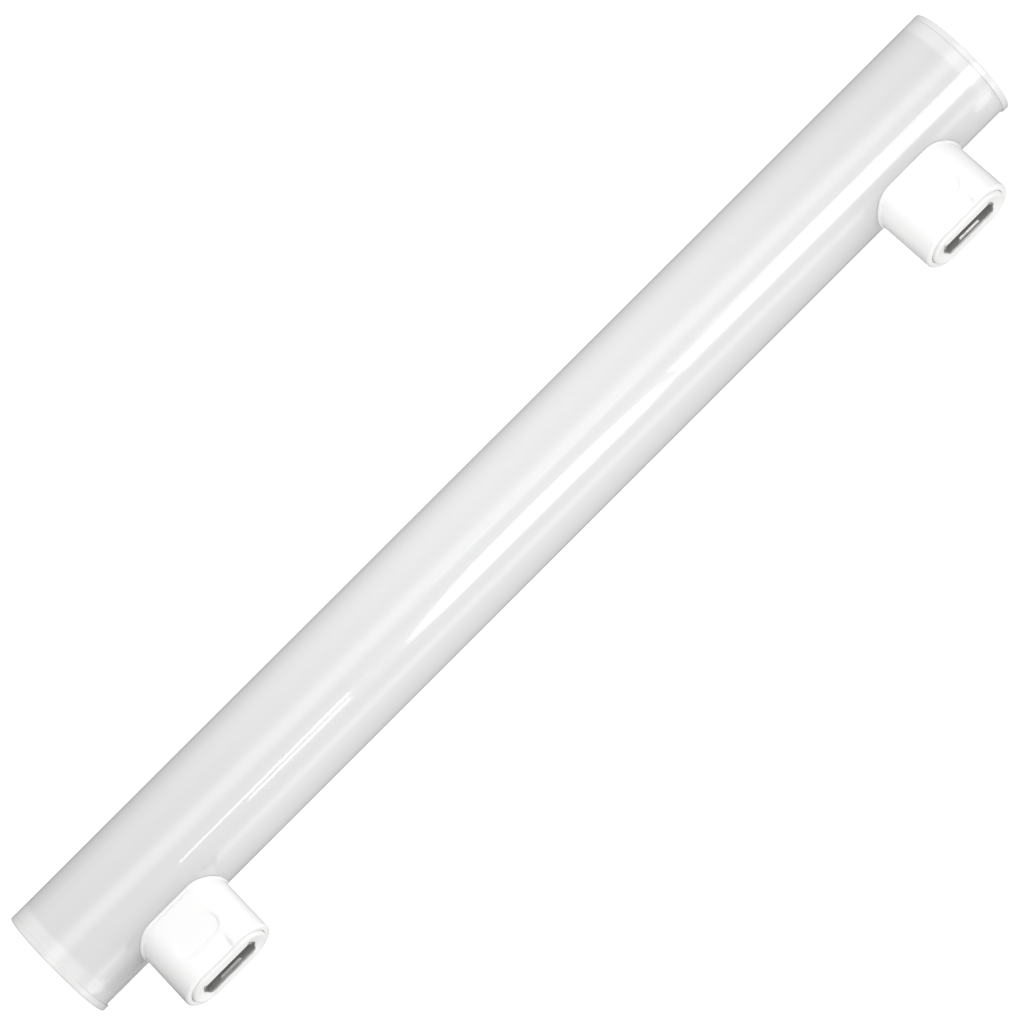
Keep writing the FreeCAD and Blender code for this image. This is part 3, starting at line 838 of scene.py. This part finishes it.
def make_world():
    """A studio dome: its brightness follows the angle up from the front. Where the camera
    looks straight at it, it is a plain white backdrop."""
    world = bpy.data.worlds.new("studio_dome")
    bpy.context.scene.world = world
    world.use_nodes = True
    tree = world.node_tree
    background = next(node for node in tree.nodes if node.type == "BACKGROUND")
    parts = axes_of(tree, add_node(tree, "ShaderNodeTexCoord", {}).outputs["Generated"])
    front = math_node(tree, "MULTIPLY", parts["Y"], -1.0)
    angle = math_node(tree, "ARCTAN2", parts["Z"], front)
    share = map_range(tree, angle, -math.pi, math.pi, 0, 1, smooth=False)
    stops = [((degrees + 180) / 360, tone / DOME_PEAK) for degrees, tone in DOME_TONES]
    far_aside = map_range(tree, math_node(tree, "ABSOLUTE", parts["X"]), *ASIDE_REACH, 0, 1)
    aside_tone = (ASIDE_TONE / DOME_PEAK,) * 3
    colour = blend_colours(tree, far_aside, ramp(tree, share, stops), aside_tone)
    leftward = map_range(tree, parts["X"], -1, FULL_PLACE, LEFT_SHARE, 1)
    level = math_node(tree, "MULTIPLY", leftward, DOME_PEAK * DOME_GAIN)
    feed(tree, background, {"Color": colour, "Strength": level})
    backdrop = add_node(tree, "ShaderNodeBackground", {"Color": WHITE, "Strength": 1.0})
    looked_at = add_node(tree, "ShaderNodeLightPath", {}).outputs["Is Camera Ray"]
    seen = {0: looked_at, 1: background.outputs[0], 2: backdrop.outputs[0]}
    shown = add_node(tree, "ShaderNodeMixShader", seen)
    output = next(node for node in tree.nodes if node.type == "OUTPUT_WORLD")
    tree.links.new(shown.outputs[0], output.inputs["Surface"])


make_floor()
make_shade("left_end_shade", ((-147, -19), (-135.5, -23), (-135.5, -4), (-147, -9)), mirrored=True)
make_shade("left_inner_shade", ((-108, -30), (-104, -30), (-104, -6), (-108, -6)))
make_shade("right_inner_shade", ((105, -30), (108, -30), (108, -6), (105, -6)))
make_shade("left_slot_shade", ((-139, -85), (-108, -85), (-108, -36), (-139, -36)), mirrored=True,
           shading=False)
make_world()
make_soft_light("overhead_fill", FILL_RADIANCE, FILL_SIZE, FILL_PLACE)
make_soft_light("floor_bounce", BOUNCE_RADIANCE, BOUNCE_SIZE, BOUNCE_PLACE, upward=True)
make_card("left_upper_card", ((-142, 196), (-62, 182), (-62, 232), (-142, 222)), 1.8)
make_card("left_lower_card", ((-110, 112), (-62, 106), (-62, 158), (-110, 152)), 1.3)
make_card("middle_card", ((-36, 84), (-20, 52), (75, 40), (92, 80), (83, 215), (58, 284), (30, 310),
                          (0, 302), (-18, 246), (-36, 150)))
make_card("right_lower_card", ((92, 56), (290, 44), (290, 286), (150, 282), (92, 268)))
make_card("right_upper_card", ((96, 306), (150, 308), (150, 282), (290, 286), (290, 334), (96, 336)))
make_card("overhead_card", ((-13, 662), (105, 662), (105, 688), (-13, 688)), 1.2)


def make_camera():
    """The photograph's view: a long lens from above, rolled so that the lamp runs corner to corner."""
    level = math.cos(CAMERA_ELEVATION)
    back = Vector((math.sin(CAMERA_AZIMUTH) * level, -math.cos(CAMERA_AZIMUTH) * level,
                   math.sin(CAMERA_ELEVATION)))
    data = bpy.data.cameras.new("camera")
    data.sensor_width = SENSOR_WIDTH
    data.lens = LENS
    camera = bpy.data.objects.new("camera", data)
    bpy.context.scene.collection.objects.link(camera)
    camera.location = CAMERA_AIM + back * CAMERA_DISTANCE
    camera.rotation_mode = "QUATERNION"
    camera.rotation_quaternion = (-back).to_track_quat("-Z", "Y") @ Quaternion((0, 0, 1), -CAMERA_ROLL)
    bpy.context.scene.camera = camera


make_camera()
bpy.context.scene.view_settings.view_transform = "Standard"
